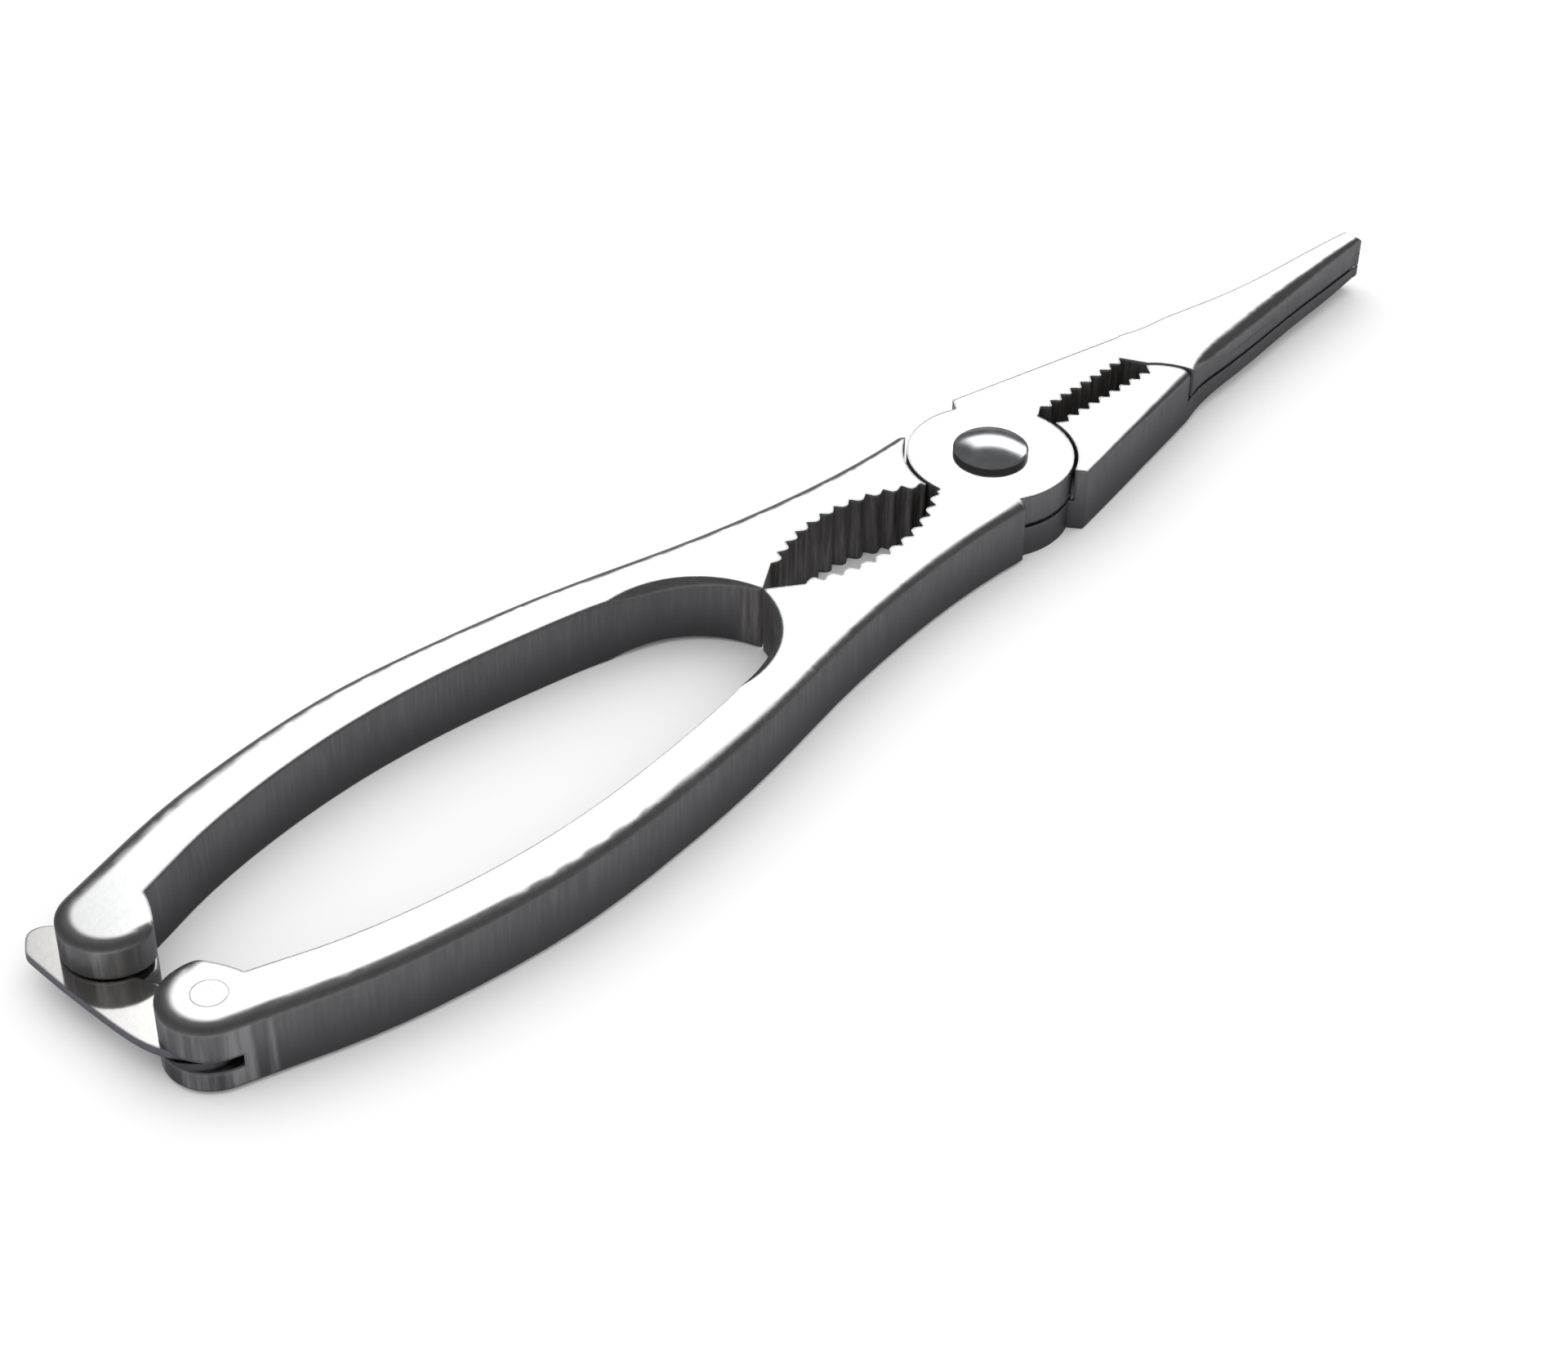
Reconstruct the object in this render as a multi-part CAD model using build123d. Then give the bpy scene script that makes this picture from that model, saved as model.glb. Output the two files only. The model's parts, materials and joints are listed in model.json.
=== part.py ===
from build123d import *
import os
from math import cos, radians, sin, sqrt

# Lever-type nut and shellfish cracker: two crossed steel levers on one rivet, closed.
# All shapes are first drawn about the pivot: origin on the rivet's axis at mid-thickness,
# +X towards the jaw tips, +Y towards the bottom lever's handle, +Z up.  The last lines move
# each piece into the part's own frame, whose origin is under the middle of the whole tool.

# ---- driving dimensions (mm) ----
THICK = 8.4                  # thickness of the tool, both levers together
HALF = THICK / 2
TIP_X = 73.8                 # pivot to the foremost point of the jaws
DISC_R = 9.95                # lap-joint disc on each lever
RECESS_R = 10.45             # round recess that the other lever's disc turns in
LAP_GAP = 0.10               # half the running gap between the two discs
BLADE_GAP = 0.15             # half the slit between the two shear blades
CROWN_W = 1.75               # the handles' outer edges are crowned: width and height
CROWN_H = 0.52
KNEE_SLOPE = 1.36            # width over height of the bevelled crescent at each knee
KNEE_DEEP = 1.5              # how far down the conical cutter for that crescent reaches
INNER_EDGE = 0.2             # rounding along the inner edges of the handles

END_X = 121.8                # pivot to the centre of the round handle end
END_Y = 8.0                  # that centre's distance from the tool's long axis
END_R = 5.3                  # radius of the round handle end

KNEE_GAP = 0.12              # half the gap where the two knees meet
KNEE_X = -38.5               # where that gap opens into the nut hole
NUT_ARC_X = -23.6            # centre of the arc that the nut teeth follow
NUT_ARC_Y = 17.0
NUT_ARC_R = 22.55
NUT_PITCH = 5.78             # degrees of that arc for one tooth
NUT_TEETH = 11
NUT_TOOTH = 0.85

JAW_X = 11.75                # first tooth valley of the jaw slot
JAW_Y = 2.25
JAW_PITCH = 1.915
JAW_TEETH = 8
JAW_TOOTH = 0.90
JAW_RISE = 0.03              # how much the slot opens with each tooth
STEP_X = 31.0                # where the full-thickness jaw stops and the shear blades start
STEP_Y = 5.8
JAW_REAR = (5.3, 10.75)      # rear outer corner of the jaw, beside the disc
SLOT_END = (28.15, 0.95)     # inner end of the jaw's front wall
STEP_ARC = (30.05, 3.1)      # a point on that wall, between SLOT_END and the step

RIVET_HEAD_R = 4.5
RIVET_RIM = 0.6               # height of the head's side, of its bevel and of its dome
RIVET_BEVEL = 0.2
RIVET_DOME = 1.0
RIVET_R = 3.2
RIVET_FIT = 0.04             # radial running clearance of the rivet in both levers
CONE_R = 4.4                 # countersunk lower end of the rivet
CONE_H = 1.3

SPRING_R = 5.0               # mean radius of the torsion spring around the rivet
SPRING_WIRE = 0.9
SPRING_PITCH = 1.0
SPRING_TURNS = 1.25
POCKET_R = 5.9
POCKET_D = 1.45              # depth of the spring pocket in each disc
LEG_R = 7.6                  # how far the spring's legs reach out
LEG_UP = 90                  # where the upper leg points, degrees from +X; the lower is at 0
LEG_ROOM = 7                 # degrees of room each side of a leg
OPEN_ANGLE = 50              # travel of the bottom lever, from closed to the shoulders' stop

SLOT_Z = -0.6                # mid-height of the slot sawn in both handle ends
SLOT_H = 1.5
SAW_R = 12.65                # radius of the slotting cutter
SAW_X = -130.2
SAW_Y = 3.5
PLATE_T = 1.0
PLATE_LOBE_R = 2.9
LATCH_R = 1.85               # latch pin, ground flush with both faces
LATCH_FIT = 0.05
CATCH_R = 1.25
CATCH_PIN_L = SLOT_H + 3.2   # the pin stands in both walls of the slot
CATCH_X = -122.2
CATCH_GAP = 0.35             # room around the catch pin in the plate's notch
NOTCH_L = 4.0                # length of that notch's open mouth
LATCH_READY = 4.0            # degrees that the plate stands back from the caught position
# the plate's outline: front edge from the tab to the pin, back edge, straight lip, thumb tab
PLATE_FRONT = ((-128.75, 11.6), (-128.75, 7.5), (-128.6, 3), (-128.3, -2.5), (-127.4, -6.7),
               (-124.4, -10.35))
PLATE_BACK = ((-120.4, -3.8), (-122.0, 0.1), (-122.75, 1.9), (-123.5, 6.0))
PLATE_LIP = ((-123.5, 6.0), (-123.55, 10.3))
PLATE_TAB = ((-123.55, 10.3), (-123.75, 13.0), (-125.1, 14.9), (-126.9, 15.15), (-128.3, 13.6),
             (-128.75, 11.6))

# outer and inner edge of a handle: distance along the tool, distance from its long axis
OUTER_EDGE = ((-5.2, 10.15), (-14, 10.05), (-20, 10.4), (-30, 11.55), (-40, 13.3), (-50, 15.55),
              (-59.5, 17.4), (-70, 18.8), (-85, 19.85), (-100, 18.7), (-110, 16.9), (-120, 14.05))
INNER_EDGE_LINE = ((-117.6, 7.9), (-110, 10.35), (-100, 12.55), (-92, 13.55), (-83, 13.95),
                   (-72, 13.4), (-60, 11.85), (-48, 9.0))
# hollow between the round end and the start of the inner edge
FLANK = ((-119.3, -4.15), (-118.2, -6.2))
# round end of the finger loop: a point on its arc, and where the arc meets the knee
KNEE_ARC = ((-42.7, -6.1), (-38.95, -0.6))
KNEE_RIM = ((-53.6, -10.45), (-46.8, -9.75), (-38.65, -0.7))    # rim of the bevelled crescent
# half-width of the closed shear blades at mid-thickness
BLADE_EDGE = ((STEP_X, STEP_Y), (33.2, 5.2), (40, 4.4), (55, 2.8), (72, 1.2))
NOSE_X = 73.3                # where the blade's nose ends at mid-thickness
NOSE_TOP_X = 72.3            # and at its face
NOSE_DEEP = 1.9              # height of the nose's foremost point above mid-thickness
HEEL_GAP = 0.58              # gap between a jaw's front wall and the other lever's blade
# metal ground off a face along one edge: x, width in from the edge, height down from the face
CUTTING_SIDE = ((31.6, 0.3, 2.3), (34.5, 1.5, 2.4), (39, 2.3, 2.5), (46, 2.6, 2.5),
                (53, 2.3, 2.5), (60, 1.8, 2.5), (67, 1.3, 2.4), (76, 0.8, 2.2))
UPPER_BACK = ((36, 0.05, 1.4), (42, 0.4, 1.4), (50, 0.9, 1.4), (56, 0.8, 1.4), (63, 0.4, 1.4),
              (76, 0.1, 1.4))
LOWER_BACK = ((30, 0.8, 0.8), (35, 1.5, 1.35), (42, 1.85, 1.75), (48, 2.0, 1.8), (55, 2.1, 2.0),
              (62, 2.0, 2.1), (69, 1.8, 2.35), (76, 1.7, 2.5))
UPPER_SHOULDER = ((2, 0.35, 0.35), (12, 0.35, 0.35), (34, 0.4, 0.4))
LOWER_SHOULDER = ((2, 0.4, 0.4), (12, 0.6, 0.55), (20, 1.0, 0.85), (27, 1.5, 1.15), (34, 2.0, 1.4))


def mirrored(points):
    return [(x, -y) for x, y in points]


def tooth_row(valleys, depth, toward):
    """Edges of one tooth between each pair of valleys: two flanks and a rounded tip."""
    edges = []
    for a, b in zip(valleys, valleys[1:]):
        a, b = Vector(*a), Vector(*b)
        mid = (a + b) / 2
        across = Vector(-(b - a).Y, (b - a).X).normalized()
        if across.dot(toward - mid) < 0:
            across = across * -1
        sharp = mid + across * ((b - a).length / 2)
        keep = 0.62
        left = a + (sharp - a) * keep
        right = b + (sharp - b) * keep
        edges += [Line(a, left), ThreePointArc(left, mid + across * depth, right), Line(right, b)]
    return edges


def nut_valleys():
    """Valleys of the nut teeth, on the y < 0 side, from the knee to the disc."""
    points = []
    for k in range(-5, NUT_TEETH - 4):
        turn = radians(k * NUT_PITCH)
        points.append((NUT_ARC_X + NUT_ARC_R * sin(turn), NUT_ARC_Y - NUT_ARC_R * cos(turn)))
    return points


def jaw_valleys():
    """Valleys of the slot teeth, on the y > 0 side, from the disc to the step."""
    return [(JAW_X + k * JAW_PITCH, JAW_Y + k * JAW_RISE) for k in range(JAW_TEETH + 1)]


def handle_end():
    """Centre of the round handle end, and where the outer edge runs off it."""
    centre = Vector(-END_X, -END_Y)
    return centre, centre + Vector(-0.287, -0.958) * END_R


def handle_outer_curves():
    """Outer edge of the top lever's handle, from the lap joint round the end to its nub."""
    centre, leave = handle_end()
    outer = Spline(*mirrored(OUTER_EDGE), leave, tangents=[(-1, 0.06), (-0.958, 0.287)])
    end_arc = ThreePointArc(leave, centre + Vector(-END_R, 0), centre + Vector(0, END_R))
    return [outer, end_arc]


def handle_inner_curve():
    return Spline(*mirrored(INNER_EDGE_LINE), tangents=[(1, -0.30), (1, 0.36)])


def handle_outline():
    """The top lever's handle, on the y < 0 side, from the lap joint to the round end."""
    nub = handle_end()[0] + Vector(0, END_R)
    corner = Vector(*mirrored(INNER_EDGE_LINE)[0])
    flank = Spline(nub, *FLANK, corner, tangents=[(1, 0), (0.25, -1)])
    knee = ThreePointArc((-48, -9.0), *KNEE_ARC)
    valleys = nut_valleys()
    contact = Line(KNEE_ARC[1], (KNEE_X, -KNEE_GAP))
    lead = Line((KNEE_X, -KNEE_GAP), valleys[0])
    teeth = tooth_row(valleys, NUT_TOOTH, Vector(NUT_ARC_X, 0))
    close = Polyline(valleys[-1], (-10.6, -0.95), (-8.5, -0.95), (-3.5, -7.0), (-4.75, -8.75),
                     (-5.2, -10.15))
    return make_face([*handle_outer_curves(), flank, handle_inner_curve(), knee, contact, lead,
                      *teeth, close])


def jaw_outline():
    """The top lever's full-thickness jaw, on the y > 0 side, as far as the step."""
    valleys = jaw_valleys()
    tip = Vector(*SLOT_END)
    start = Polyline(JAW_REAR, (4.25, 9.4), (3, 7), (8, 1.2), (10.1, 1.2), valleys[0])
    teeth = tooth_row(valleys, JAW_TOOTH, Vector(20, 0))
    last = Line(valleys[-1], tip)
    end_wall = ThreePointArc(tip, STEP_ARC, (STEP_X, STEP_Y))
    back = Line((STEP_X, STEP_Y), JAW_REAR)
    return make_face([start, *teeth, last, end_wall, back])


def blade_side(y_sign):
    """Long edge of the closed blades at mid-thickness, from the step to the nose."""
    points = [(x, y_sign * y) for x, y in BLADE_EDGE]
    return Spline(*points, tangents=[(1, -0.19 * y_sign), (1, -0.1 * y_sign)])


def blade_outline():
    """The top lever's shear blade, which is half as thick and spans both sides of the axis."""
    root = Vector(*jaw_valleys()[-1])
    corner = Vector(SLOT_END[0] + HEEL_GAP, -0.75)
    heel = Vector(STEP_X + HEEL_GAP, -STEP_Y - 0.1)
    wall = [Line(root, corner), ThreePointArc(corner, (STEP_ARC[0] + HEEL_GAP, -STEP_ARC[1]), heel)]
    far, near = blade_side(1), blade_side(-1)
    start = Line(heel, near @ 0.03)
    near = near.trim(0.03, 1)
    nose = ThreePointArc(near @ 1, (TIP_X, 0), far @ 1)
    inside = Line((STEP_X, STEP_Y), root)
    return make_face([*wall, start, near, nose, far, inside])


def jaw_half_width(x):
    """Distance of the jaw's outer wall from the axis."""
    (x0, y0), (x1, y1) = (JAW_REAR[0], JAW_REAR[1]), (STEP_X, STEP_Y)
    return y0 + (y1 - y0) * (x - x0) / (x1 - x0)


def between(stations, x):
    """Value at x between listed (x, value) stations."""
    for (x0, y0), (x1, y1) in zip(stations, stations[1:]):
        if x <= x1:
            return y0 + (y1 - y0) * (x - x0) / (x1 - x0)
    return stations[-1][1]


def blade_half_width(x):
    """Half-width of the closed blades at mid-thickness."""
    return between((*BLADE_EDGE, (80, 0.45)), x)


def grinding(stations, half_width, side, convex):
    """The metal that grinding takes off one top edge, as a loft along X."""
    sections = []
    for x, width, height in stations:
        wall = side * (half_width(x) + 0.02)
        top = wall - side * width
        over = HALF + 0.5
        low = HALF - height
        if convex:
            curve = Spline((x, top, HALF), (x, wall, low), tangents=[(0, side, 0), (0, 0, -1)])
        else:
            curve = Line((x, top, HALF), (x, wall, low))
        rest = Polyline((x, wall, low), (x, wall + side * 3, low), (x, wall + side * 3, over),
                        (x, top, over), (x, top, HALF))
        sections.append(make_face([curve, rest]))
    return loft(sections)


def nose_rounding():
    """The metal in front of the nose, which is rounded from the blade's face to mid-thickness."""
    arc = ThreePointArc((NOSE_TOP_X, 0, HALF + 0.01), (TIP_X - 0.01, 0, NOSE_DEEP), (NOSE_X, 0, -0.01))
    front = TIP_X + 2
    rest = Polyline((NOSE_X, 0, -0.01), (front, 0, -0.01), (front, 0, HALF + 0.01),
                    (NOSE_TOP_X, 0, HALF + 0.01))
    return extrude(make_face([arc, rest]), 6, dir=(0, 1, 0), both=True)


def rounding(curves, width, height, outward):
    """The metal that crowning an edge takes off both faces along a chain of curves."""
    path = Pos(0, 0, HALF) * Wire(curves)
    start = Plane(path @ 0, x_dir=outward, z_dir=path % 0)
    up = start.y_dir.Z
    spare = 0.3

    def at(n, z):
        return start.from_local_coords((n, up * z))

    crown = Spline(at(-width, 0), at(-width / 2, -height / 8), at(0, -height),
                   tangents=[start.x_dir, start.x_dir * width - Vector(0, 0, 3 * height)])
    rest = Polyline(at(0, -height), at(spare, -height), at(spare, spare), at(-width, spare),
                    at(-width, 0))
    upper = sweep(make_face([crown, rest]), path)
    return upper + mirror(upper, Plane.XY)


def knee_bevel():
    """Conical cuts, set off from the round end of the loop, that leave a crescent on both faces."""
    rim = ThreePointArc(*KNEE_RIM)
    centre, radius = rim.arc_center, rim.radius
    over = 0.4
    cone = Pos(centre.X, centre.Y, HALF - KNEE_DEEP) * Cone(
        radius - KNEE_SLOPE * KNEE_DEEP, radius + KNEE_SLOPE * over, KNEE_DEEP + over,
        align=(Align.CENTER, Align.CENTER, Align.MIN))
    return cone + mirror(cone, Plane.XY)


def handle_edges():
    """Crowning along the handle's outside, a small rounding inside, and the knee's bevel."""
    first = Vector(*mirrored(OUTER_EDGE)[0])
    nub = handle_end()[0] + Vector(0, END_R)
    outside = [Line(first + Vector(4, -0.24), first), *handle_outer_curves(), Line(nub, nub + Vector(3, 0))]
    return [rounding(outside, CROWN_W, CROWN_H, Vector(0, -1, 0)),
            rounding([handle_inner_curve()], INNER_EDGE, INNER_EDGE, Vector(0, 1, 0)),
            knee_bevel()]


def spring_pocket(arm_start, arm_span):
    """Pocket for the coil, with the slot that one of the spring's legs bears in."""
    pocket = Cylinder(POCKET_R, POCKET_D, align=(Align.CENTER, Align.CENTER, Align.MIN))
    ring = Cylinder(LEG_R + 0.4, POCKET_D, align=(Align.CENTER, Align.CENTER, Align.MIN))
    wedge_points = [(0, 0)]
    steps = 6
    for k in range(steps + 1):
        turn = radians(arm_start + arm_span * k / steps)
        wedge_points.append((2 * DISC_R * cos(turn), 2 * DISC_R * sin(turn)))
    wedge = extrude(make_face(Polyline(*wedge_points, close=True)), POCKET_D)
    return pocket + (ring & wedge)


def lever(pocket, slot_z, back, jaw_shoulder):
    """A lever as the top one lies: handle at y < 0, upper half of the disc, jaw at y > 0."""
    handle = Pos(0, 0, -HALF) * extrude(handle_outline(), THICK)
    for cutter in handle_edges():
        handle -= cutter
    shoulder = grinding(jaw_shoulder, jaw_half_width, 1, True)
    jaw = Pos(0, 0, -HALF) * extrude(jaw_outline(), THICK) - shoulder - mirror(shoulder, Plane.XY)
    below = Pos(0, 0, -HALF - 1) * Cylinder(RECESS_R, HALF + 1 + LAP_GAP,
                                            align=(Align.CENTER, Align.CENTER, Align.MIN))
    disc = Pos(0, 0, LAP_GAP) * Cylinder(DISC_R, HALF - LAP_GAP,
                                         align=(Align.CENTER, Align.CENTER, Align.MIN))
    blade = Pos(0, 0, BLADE_GAP) * extrude(blade_outline(), HALF - BLADE_GAP)
    blade -= grinding(CUTTING_SIDE, blade_half_width, -1, True)
    blade -= grinding(back, blade_half_width, 1, False)
    blade -= nose_rounding()
    body = (handle - below) + (jaw - below) + disc + blade
    body -= Cylinder(RIVET_R + RIVET_FIT, 3 * THICK)
    body -= Pos(0, 0, LAP_GAP) * pocket
    body -= Pos(SAW_X, -SAW_Y, slot_z) * Cylinder(SAW_R, SLOT_H)
    return body


def top_lever():
    body = lever(spring_pocket(LEG_UP - LEG_ROOM, 2 * LEG_ROOM), SLOT_Z, UPPER_BACK, UPPER_SHOULDER)
    return body - Pos(-END_X, -END_Y, 0) * Cylinder(LATCH_R, 3 * THICK)


def bottom_lever():
    pocket = spring_pocket(-LEG_ROOM - OPEN_ANGLE, 2 * LEG_ROOM + OPEN_ANGLE)
    body = Rot(180, 0, 0) * lever(pocket, -SLOT_Z, LOWER_BACK, LOWER_SHOULDER)
    body -= Pos(CATCH_X, END_Y, SLOT_Z) * Cylinder(CATCH_R, CATCH_PIN_L)
    cone = Pos(0, 0, -HALF) * Cone(CONE_R + RIVET_FIT, RIVET_R + RIVET_FIT, CONE_H,
                                   align=(Align.CENTER, Align.CENTER, Align.MIN))
    return body - cone


def pivot_rivet():
    """Button head on the top face, plain shank, and a countersunk end ground flush below."""
    crown_r = RIVET_HEAD_R - 1.3 * RIVET_BEVEL
    crown_z = HALF + RIVET_RIM + RIVET_BEVEL
    dome_r = (crown_r**2 + RIVET_DOME**2) / (2 * RIVET_DOME)
    fall = dome_r - sqrt(dome_r**2 - (crown_r / 2)**2)
    profile = [
        Line((0, -HALF), (CONE_R, -HALF)),
        Line((CONE_R, -HALF), (RIVET_R, -HALF + CONE_H)),
        Line((RIVET_R, -HALF + CONE_H), (RIVET_R, HALF)),
        Line((RIVET_R, HALF), (RIVET_HEAD_R, HALF)),
        Line((RIVET_HEAD_R, HALF), (RIVET_HEAD_R, HALF + RIVET_RIM)),
        Line((RIVET_HEAD_R, HALF + RIVET_RIM), (crown_r, crown_z)),
        ThreePointArc((crown_r, crown_z), (crown_r / 2, crown_z + RIVET_DOME - fall),
                      (0, crown_z + RIVET_DOME)),
        Line((0, crown_z + RIVET_DOME), (0, -HALF)),
    ]
    return revolve(Plane.XZ * make_face(profile), Axis.Z)


def opening_spring():
    """Torsion spring wound round the rivet, one leg bearing in each lever's disc."""
    height = SPRING_PITCH * SPRING_TURNS
    start = -height / 2
    coil = Pos(0, 0, start) * Helix(SPRING_PITCH, height, SPRING_R)
    ring = sweep(Plane(coil @ 0, z_dir=coil % 0) * Circle(SPRING_WIRE / 2), coil, is_frenet=True)
    legs = []
    for t in (0, 1):
        foot = coil @ t
        out = Vector(foot.X, foot.Y, 0).normalized()
        leg = Plane(foot, z_dir=out) * Cylinder(SPRING_WIRE / 2, LEG_R - SPRING_R,
                                                align=(Align.CENTER, Align.CENTER, Align.MIN))
        legs.append(leg + Pos(*foot) * Sphere(SPRING_WIRE / 2))
    return ring + legs[0] + legs[1]


def latch_plate():
    """Thin plate on the latch pin: a thumb tab beyond the other handle and a hook in its slot."""
    pin = Vector(-END_X, -END_Y)
    near, side = pin + Vector(0.3, -PLATE_LOBE_R), pin + Vector(PLATE_LOBE_R, 0.3)
    front = Spline(*PLATE_FRONT, near, tangents=[(0, -1), (1, 0.1)])
    lobe = ThreePointArc(near, pin + Vector(2.2, -1.9), side)
    back = Spline(side, *PLATE_BACK, tangents=[(0, 1), (0, 1)])
    lip = Line(*PLATE_LIP)
    tab = Spline(*PLATE_TAB, tangents=[(0, 1), (0, -1)])
    plate = Pos(0, 0, SLOT_Z - PLATE_T / 2) * extrude(make_face([front, lobe, back, lip, tab]), PLATE_T)
    notch_at = pin + (Vector(CATCH_X, END_Y) - pin).rotate(Axis.Z, LATCH_READY)
    room = CATCH_R + CATCH_GAP
    notch = Pos(notch_at.X, notch_at.Y, SLOT_Z) * (
        Cylinder(room, THICK) + Pos(NOTCH_L / 2, 0, 0) * Box(NOTCH_L, 2 * room, THICK))
    bore = Pos(pin.X, pin.Y, SLOT_Z) * Cylinder(LATCH_R + LATCH_FIT, THICK)
    return plate - notch - bore


def latch_pin():
    return Pos(-END_X, -END_Y, 0) * Cylinder(LATCH_R, THICK)


def catch_pin():
    return Pos(CATCH_X, END_Y, SLOT_Z) * Cylinder(CATCH_R, CATCH_PIN_L)


PARTS = {
    "top_lever": top_lever,
    "bottom_lever": bottom_lever,
    "pivot_rivet": pivot_rivet,
    "opening_spring": opening_spring,
    "latch_plate": latch_plate,
    "latch_pin": latch_pin,
    "catch_pin": catch_pin,
}

shapes = {name: make() for name, make in PARTS.items()}
ends = [shapes[name].bounding_box() for name in ("top_lever", "latch_plate")]
pivot_x = -(ends[0].max.X + ends[1].min.X) / 2
print("pivot at x =", round(pivot_x, 3))
os.makedirs("parts", exist_ok=True)
for name, shape in shapes.items():
    export_step(Pos(pivot_x, 0, HALF) * shape, f"parts/{name}.step")
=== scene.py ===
import json
import math

import bpy
from mathutils import Matrix, Vector

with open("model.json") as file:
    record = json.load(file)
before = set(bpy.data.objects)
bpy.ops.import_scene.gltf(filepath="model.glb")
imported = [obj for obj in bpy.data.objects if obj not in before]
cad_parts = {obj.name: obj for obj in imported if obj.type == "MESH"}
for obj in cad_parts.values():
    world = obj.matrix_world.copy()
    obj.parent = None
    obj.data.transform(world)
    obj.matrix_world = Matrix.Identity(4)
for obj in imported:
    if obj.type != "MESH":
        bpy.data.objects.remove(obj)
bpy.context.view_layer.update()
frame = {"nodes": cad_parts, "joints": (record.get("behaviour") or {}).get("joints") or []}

nodes = frame["nodes"]
joints = {joint["name"]: joint for joint in frame["joints"]}
PIVOT = Vector(joints["lever_pivot"]["pos_m"])
LATCH = Vector(joints["latch_pivot"]["pos_m"])

# Camera
CAMERA_OFFSET = Vector((-0.23806, -0.19282, 0.21158))    # from the pivot, metres
AIM_OFFSET = Vector((-0.04404, -0.00871, 0.0))           # from the pivot, metres
CAMERA_ROLL = 1.14                                       # degrees
LENS = 71.17                                             # mm on a 36 mm sensor

# Places on the levers. Reaches run along the tool from the pivot, in millimetres.
HANDLE_END = (-140.0, -119.5)
NUT_HOLE = (-39.5, -4.0)
NUT_HOLE_SIDE = 0.0082                                   # half width, metres
JAW_SLOT = (8.0, 31.0)
JAW_SLOT_SIDE = 0.0040                                   # half width, metres
BLADES = (31.2, 80.0)
LAP_RADIUS = 0.0104
SLIT_HALF = 0.00022                                      # half the height of the painted shade at each slit
PIN_RADIUS = 0.0022
EDGE_BREAK = 0.0006                                      # rounding of edges in shading, metres

# Steel reflectances, without their variation
GROUND_FACE = (0.84, 0.835, 0.82)
# GROUND_WALL is partly the walls' own duller tone and partly painted shade: darker than bare
# steel
GROUND_WALL = (0.36, 0.352, 0.357)
PLATE_FACE = (0.82, 0.80, 0.765)
PLATE_WALL = (0.52, 0.53, 0.60)
RIVET_HEAD = (0.78, 0.785, 0.80)
SPRING_WIRE = (0.42, 0.42, 0.43)
# Painted shade for the walls inside the nut hole and the jaws' slot
HOLE_SHADE_DARK, HOLE_SHADE_LIGHT = (0.30, 0.285, 0.275), (0.60, 0.575, 0.56)

# Studio: directions in the world, angles in degrees, strengths of the background
FAR = (0.725, 0.688, 0.0)                                # away from the photo's camera
LEFT = (-0.688, 0.725, 0.0)
SOFTBOX, RIM, ROOM = 1.9, 0.35, 0.09
DOME, DOME_TILT = 1.3, 0.3
FLOOR_RADIUS = 3.0


# ---------------------------------------------------------------- node helpers

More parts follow.
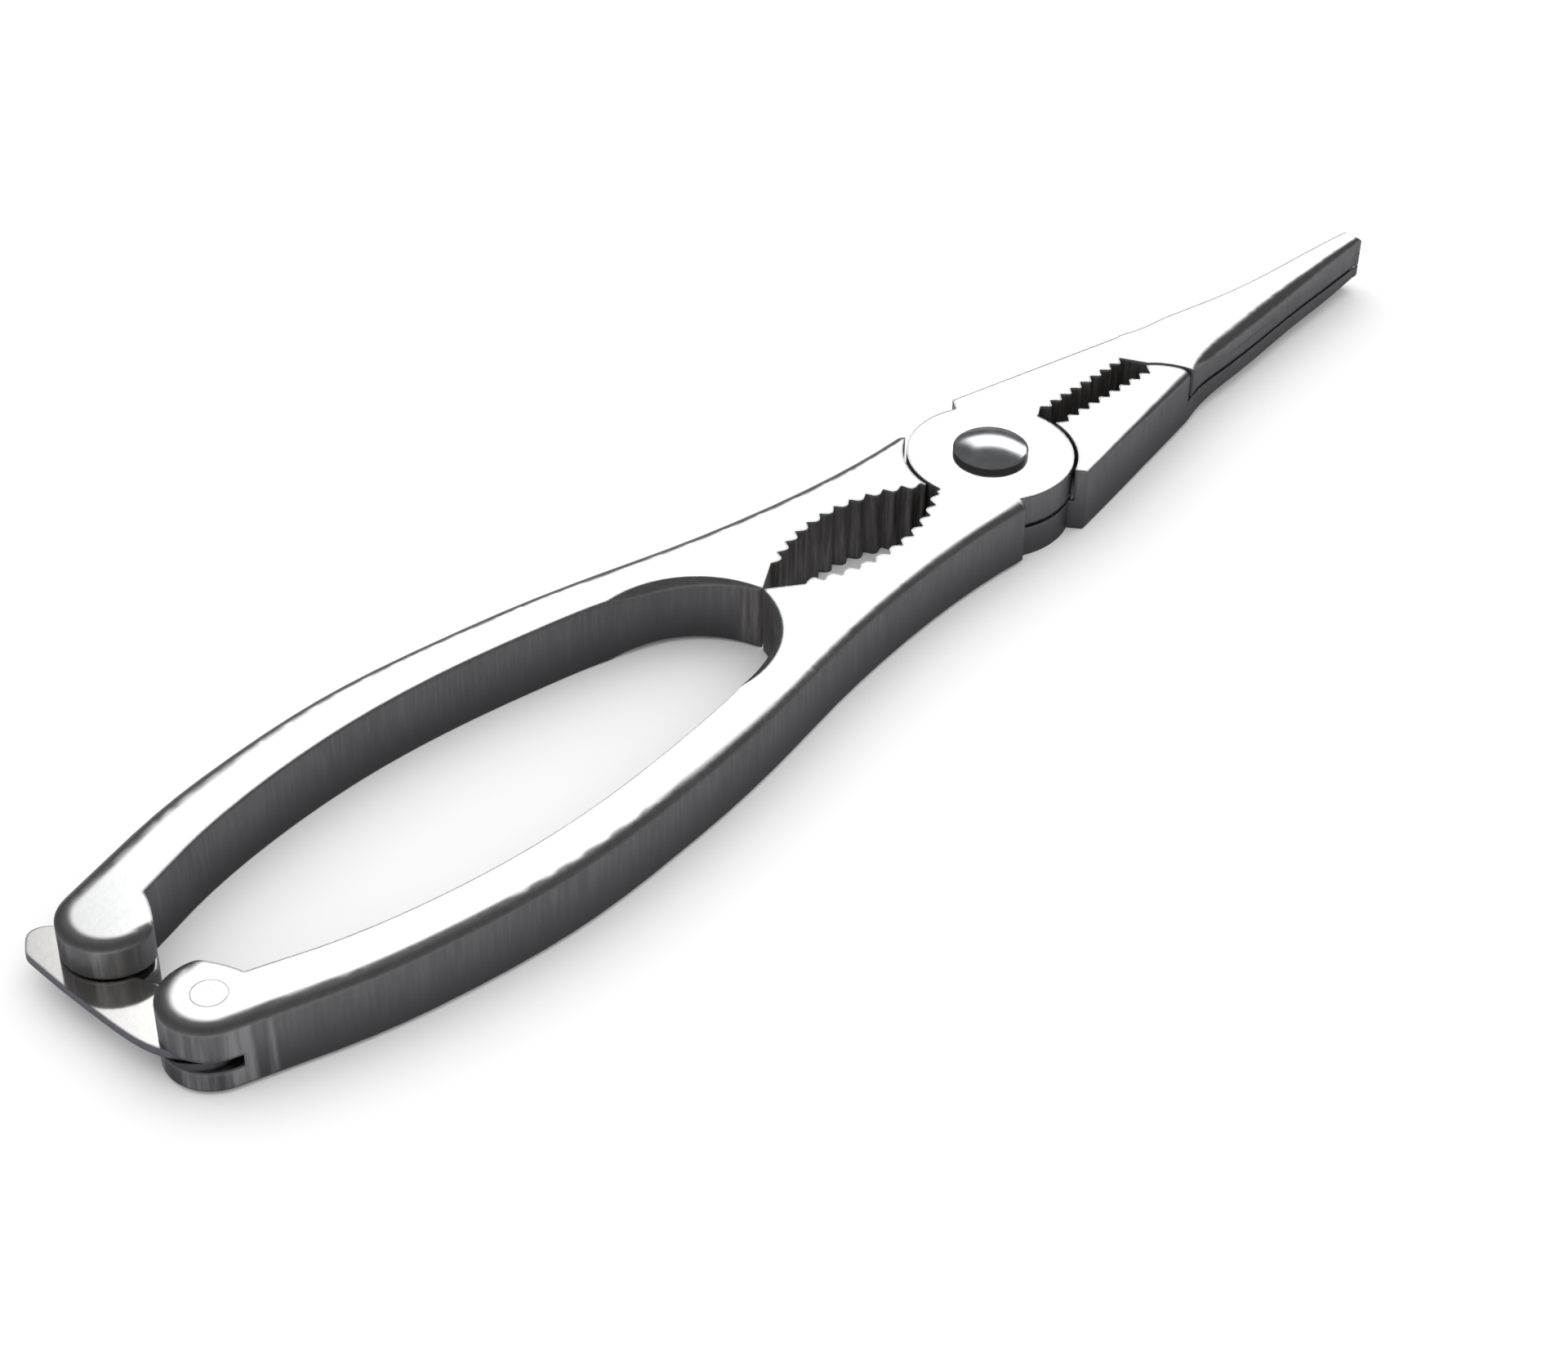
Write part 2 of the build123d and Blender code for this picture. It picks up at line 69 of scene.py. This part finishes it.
class Graph:
    """A node tree being filled: add() makes a node and links or sets its named inputs."""

    def __init__(self, tree):
        self.tree = tree
        tree.nodes.clear()

    def feed(self, socket, value):
        if isinstance(value, bpy.types.NodeSocket):
            self.tree.links.new(value, socket)
        else:
            socket.default_value = value

    def add(self, kind, inputs=None, **settings):
        node = self.tree.nodes.new(kind)
        for name, value in settings.items():
            setattr(node, name, value)
        for name, value in (inputs or {}).items():
            self.feed(node.inputs[name], value)
        return node

    def math(self, operation, a, b=0.0, clamp=False):
        node = self.add("ShaderNodeMath", {0: a, 1: b}, operation=operation, use_clamp=clamp)
        return node.outputs[0]

    def times(self, a, b):
        return self.math("MULTIPLY", a, b)

    def vector_math(self, operation, a, b=(0.0, 0.0, 0.0)):
        return self.add("ShaderNodeVectorMath", {0: a, 1: b}, operation=operation).outputs

    def smooth(self, value, low, high):
        """0 at low, 1 at high, a smooth step between; low may be the larger."""
        node = self.add("ShaderNodeMapRange",
                        {"Value": value, "From Min": low, "From Max": high},
                        interpolation_type="SMOOTHSTEP")
        return node.outputs["Result"]

    def span(self, value, low, high):
        """A 0..1 value spread over low..high."""
        node = self.add("ShaderNodeMapRange", {"Value": value, "To Min": low, "To Max": high})
        return node.outputs["Result"]

    def blend(self, factor, a, b):
        return self.add("ShaderNodeMix", {0: factor, 2: a, 3: b}, data_type="FLOAT").outputs[0]

    def mix(self, factor, a, b):
        node = self.add("ShaderNodeMix", {0: factor}, data_type="RGBA")
        for index, value in ((6, a), (7, b)):
            self.feed(node.inputs[index], (*value, 1.0) if isinstance(value, tuple) else value)
        return node.outputs[2]

    def noise(self, vector, scale, detail=3.0, roughness=0.5):
        node = self.add("ShaderNodeTexNoise", {
            "Vector": vector, "Scale": scale, "Detail": detail, "Roughness": roughness})
        return node.outputs["Fac"]

    def stretched(self, vector, scale):
        return self.add("ShaderNodeMapping", {"Vector": vector, "Scale": scale}).outputs[0]

    def place(self):
        return self.add("ShaderNodeTexCoord").outputs["Object"]

    def height(self, vector):
        return self.add("ShaderNodeSeparateXYZ", {0: vector}).outputs["Z"]

    def rounded(self, radius):
        """The normal with edges rounded over radius, and how far it points up or down."""
        normal = self.add("ShaderNodeBevel", {"Radius": radius}, samples=4).outputs[0]
        return normal, self.math("ABSOLUTE", self.height(normal))

    def metal(self, color, roughness, relief, depth, normal):
        """Finish the material as bare metal with a bump of the given depth in metres."""
        bump = self.add("ShaderNodeBump", {
            "Strength": 0.5, "Distance": depth, "Height": relief, "Normal": normal})
        shader = self.add("ShaderNodeBsdfPrincipled", {
            "Base Color": color, "Metallic": 1.0, "Roughness": roughness,
            "Normal": bump.outputs[0]})
        self.add("ShaderNodeOutputMaterial", {"Surface": shader.outputs[0]})


def new_material(name):
    material = bpy.data.materials.new(name)
    material.use_nodes = True
    return material, Graph(material.node_tree)


def shade(color, factor):
    return tuple(channel * factor for channel in color)


def near(g, place, centre, radius):
    """A mask that is 1 within radius of an upright axis through centre."""
    blur = 0.0004
    away = g.vector_math("SUBTRACT", place, centre)[0]
    flat = g.vector_math("MULTIPLY", away, (1.0, 1.0, 0.0))[0]
    distance = g.vector_math("LENGTH", flat)["Value"]
    return g.smooth(distance, radius + blur, radius)


def along(g, x, reach):
    """A mask between two distances from the pivot along the tool, in millimetres."""
    low, high = (PIVOT.x + distance / 1000 for distance in reach)
    blur = 0.0006
    return g.times(g.smooth(x, low - blur, low), g.smooth(x, high + blur, high))


# ---------------------------------------------------------------- materials

def painted_hole_shade(g, x, y, lines, wall_tone):
    """Painted shade: darker, streaked walls in the nut hole and in the jaws' slot, for the
    shade inside them.
    """
    offset = g.math("ABSOLUTE", y)
    nut_hole = g.times(along(g, x, NUT_HOLE),
                       g.smooth(offset, NUT_HOLE_SIDE + 0.001, NUT_HOLE_SIDE))
    slot = g.times(along(g, x, JAW_SLOT),
                   g.smooth(offset, JAW_SLOT_SIDE + 0.0008, JAW_SLOT_SIDE))
    hole_shade = g.mix(g.smooth(lines, 0.3, 0.8), HOLE_SHADE_DARK, HOLE_SHADE_LIGHT)
    return g.mix(g.math("ADD", nut_hole, slot, clamp=True), wall_tone, hole_shade)


def slit_painted_shade(g, place, x, z, level):
    """A mask for painted shade on the edges at the height where the two levers slide on each
    other, in the lap joint and along the blades. The sliding faces themselves are level, and
    stay bright."""
    from_middle = g.math("ABSOLUTE", g.math("SUBTRACT", z, PIVOT.z))
    middle = g.smooth(from_middle, SLIT_HALF + 0.00008, SLIT_HALF)
    region = g.math("ADD", near(g, place, PIVOT, LAP_RADIUS), along(g, x, BLADES), clamp=True)
    return g.times(g.times(middle, region), g.math("SUBTRACT", 1.0, level))


def ground_steel(name, face, wall, face_rough, wall_rough, lever=False):
    """Polished faces and crowned edges; upright walls ground across their height."""
    material, g = new_material(name)
    place = g.place()
    x, y, z = g.add("ShaderNodeSeparateXYZ", {0: place}).outputs
    if lever:
        # The latch pin is ground flush, so the hole round it has hardly any edge.
        pin = near(g, place, LATCH, PIN_RADIUS)
        radius = g.times(g.math("SUBTRACT", 1.0, g.times(pin, 0.8)), EDGE_BREAK)
    else:
        radius = EDGE_BREAK / 2
    normal, up = g.rounded(radius)
    flat = g.smooth(up, 0.12, 0.5)
    level = g.smooth(up, 0.93, 0.995)

    lines = g.noise(g.stretched(place, (1.0, 1.0, 0.07)), 2400.0, 5.0, 0.62)
    cloud = g.noise(g.stretched(place, (1.0, 1.0, 0.5)), 95.0, 4.0, 0.55)
    pits = g.noise(place, 1500.0, 4.0, 0.6)
    smear = g.noise(g.stretched(place, (0.35, 1.0, 1.0)), 260.0, 5.0, 0.65)

    wall_tone = g.mix(cloud, shade(wall, 0.75), shade(wall, 1.3))
    wall_tone = g.mix(g.smooth(lines, 0.35, 0.8), wall_tone, shade(wall, 1.35))
    # Painted shade: the walls darken towards the bottom, near the floor
    wall_tone = g.mix(g.smooth(z, 0.008, 0.0005), wall_tone, shade(wall, 0.62))
    if lever:
        # Painted shade inside the nut hole and the jaws' slot
        wall_tone = painted_hole_shade(g, x, y, lines, wall_tone)
        # Painted reflections: bright streaks of face colour on the walls of the handle ends
        streaks = g.noise(g.stretched(place, (1.0, 1.0, 0.1)), 420.0, 4.0, 0.55)
        end_painted_streaks = g.times(along(g, x, HANDLE_END), g.smooth(streaks, 0.42, 0.66))
        wall_tone = g.mix(end_painted_streaks, wall_tone, shade(face, 0.9))
    # Painted shade: a darker copy of the face colour on the tilted crowns of the edges
    crown_painted_shade = g.mix(pits, shade(face, 0.5), shade(face, 0.68))
    face_tone = g.mix(level, crown_painted_shade, g.mix(smear, shade(face, 0.9), face))
    color = g.mix(flat, wall_tone, face_tone)
    if lever:
        # Painted shade: a nearly black strip where the levers meet at each slit
        color = g.mix(slit_painted_shade(g, place, x, z, level), color, shade(wall, 0.1))

    face_value = g.span(g.times(smear, pits), face_rough * 0.7, face_rough * 2.2)
    wall_value = g.span(lines, wall_rough * 0.75, wall_rough * 1.25)
    relief = g.blend(flat, g.times(lines, 0.8), g.math("ADD", g.times(pits, 0.35), smear))
    g.metal(color, g.blend(flat, wall_value, face_value), relief, 0.000012, normal)
    return material


def bright_steel(name, base, roughness, scratch_scale):
    """Buffed steel with fine random scratches. Upright sides were never polished: they are
    dull, and carry painted shade, nearly black.
    """
    material, g = new_material(name)
    place = g.place()
    normal, up = g.rounded(EDGE_BREAK / 4)
    polished_lit_top = g.smooth(up, 0.25, 0.85)
    haze = g.noise(place, 500.0, 5.0, 0.6)
    hair = g.noise(g.stretched(place, (1.0, 0.12, 1.0)), scratch_scale, 4.0, 0.7)
    color = g.mix(haze, shade(base, 0.82), base)
    # Painted shade: upright sides nearly black; they are also rougher
    color = g.mix(polished_lit_top, shade(base, 0.16), color)
    rough = g.span(g.times(haze, hair), roughness * 0.6, roughness * 2.4)
    g.metal(color, g.blend(polished_lit_top, 0.45, rough), hair, 0.00001, normal)
    return material


def dress(material, *names):
    for name in names:
        for slot in nodes[name].material_slots:
            slot.material = material


dress(ground_steel("lever_steel", GROUND_FACE, GROUND_WALL, 0.15, 0.38, lever=True),
      "top_lever", "bottom_lever")
dress(ground_steel("plate_steel", PLATE_FACE, PLATE_WALL, 0.09, 0.30), "latch_plate")
dress(bright_steel("rivet_steel", RIVET_HEAD, 0.17, 900.0), "pivot_rivet")
dress(bright_steel("pin_steel", GROUND_FACE, 0.17, 1400.0), "latch_pin", "catch_pin")
dress(bright_steel("spring_steel", SPRING_WIRE, 0.3, 2000.0), "opening_spring")


# ---------------------------------------------------------------- studio

def floor():
    """Pale paper, which polished metal sees dimmer than the camera does."""
    bpy.ops.mesh.primitive_circle_add(vertices=128, radius=FLOOR_RADIUS, fill_type="NGON")
    ground = bpy.context.object
    ground.name = "floor"
    material, g = new_material("floor_paper")
    paper = g.mix(g.noise(g.place(), 12.0), (0.86, 0.86, 0.86), (0.89, 0.89, 0.89))
    in_gloss = g.add("ShaderNodeLightPath").outputs["Is Glossy Ray"]
    shader = g.add("ShaderNodeBsdfPrincipled", {
        "Base Color": g.mix(in_gloss, paper, (0.22, 0.22, 0.235)), "Roughness": 0.9,
        "Specular IOR Level": 0.1})
    g.add("ShaderNodeOutputMaterial", {"Surface": shader.outputs[0]})
    ground.data.materials.append(material)


def surroundings():
    """An even pale dome for the floor; polished metal sees one long softbox in a dim room."""
    world = bpy.data.worlds.new("studio")
    bpy.context.scene.world = world
    world.use_nodes = True
    g = Graph(world.node_tree)
    direction = g.add("ShaderNodeTexCoord").outputs["Generated"]
    ahead = g.vector_math("DOT_PRODUCT", direction, FAR)["Value"]
    aside = g.vector_math("DOT_PRODUCT", direction, LEFT)["Value"]
    # climb runs over the top, from 0 on the far horizon to 180 behind the photo's camera.
    climb = g.math("DEGREES", g.math("ARCTAN2", g.height(direction), ahead))
    turn = g.math("DEGREES", g.math("ARCTAN2", aside, ahead))

    softbox = g.times(g.smooth(climb, 17.0, 26.0), g.smooth(climb, 54.0, 45.0))
    softbox = g.times(softbox, g.smooth(turn, -55.0, -36.0))
    softbox = g.times(softbox, g.smooth(turn, 24.0, 11.0))
    rim = g.times(g.smooth(climb, 156.0, 164.0), g.smooth(climb, 182.0, 174.0))
    glow = g.math("ADD", g.times(softbox, SOFTBOX), g.times(rim, RIM))
    glow = g.math("ADD", glow, ROOM)
    even = g.math("ADD", DOME, g.times(ahead, DOME_TILT))

    in_gloss = g.add("ShaderNodeLightPath").outputs["Is Glossy Ray"]
    light = g.add("ShaderNodeBackground", {
        "Color": g.mix(in_gloss, (1.0, 1.0, 1.0), (0.97, 0.985, 1.0)),
        "Strength": g.blend(in_gloss, even, glow)})
    g.add("ShaderNodeOutputWorld", {"Surface": light.outputs[0]})


def camera():
    data = bpy.data.cameras.new("camera")
    data.lens = LENS
    data.clip_start = 0.01
    cam = bpy.data.objects.new("camera", data)
    bpy.context.scene.collection.objects.link(cam)
    at = PIVOT + CAMERA_OFFSET
    aim = (PIVOT + AIM_OFFSET - at).to_track_quat("-Z", "Y").to_matrix().to_4x4()
    roll = Matrix.Rotation(math.radians(CAMERA_ROLL), 4, "Z")
    cam.matrix_world = Matrix.Translation(at) @ aim @ roll
    bpy.context.scene.camera = cam


floor()
surroundings()
camera()
bpy.context.scene.view_settings.view_transform = "Standard"
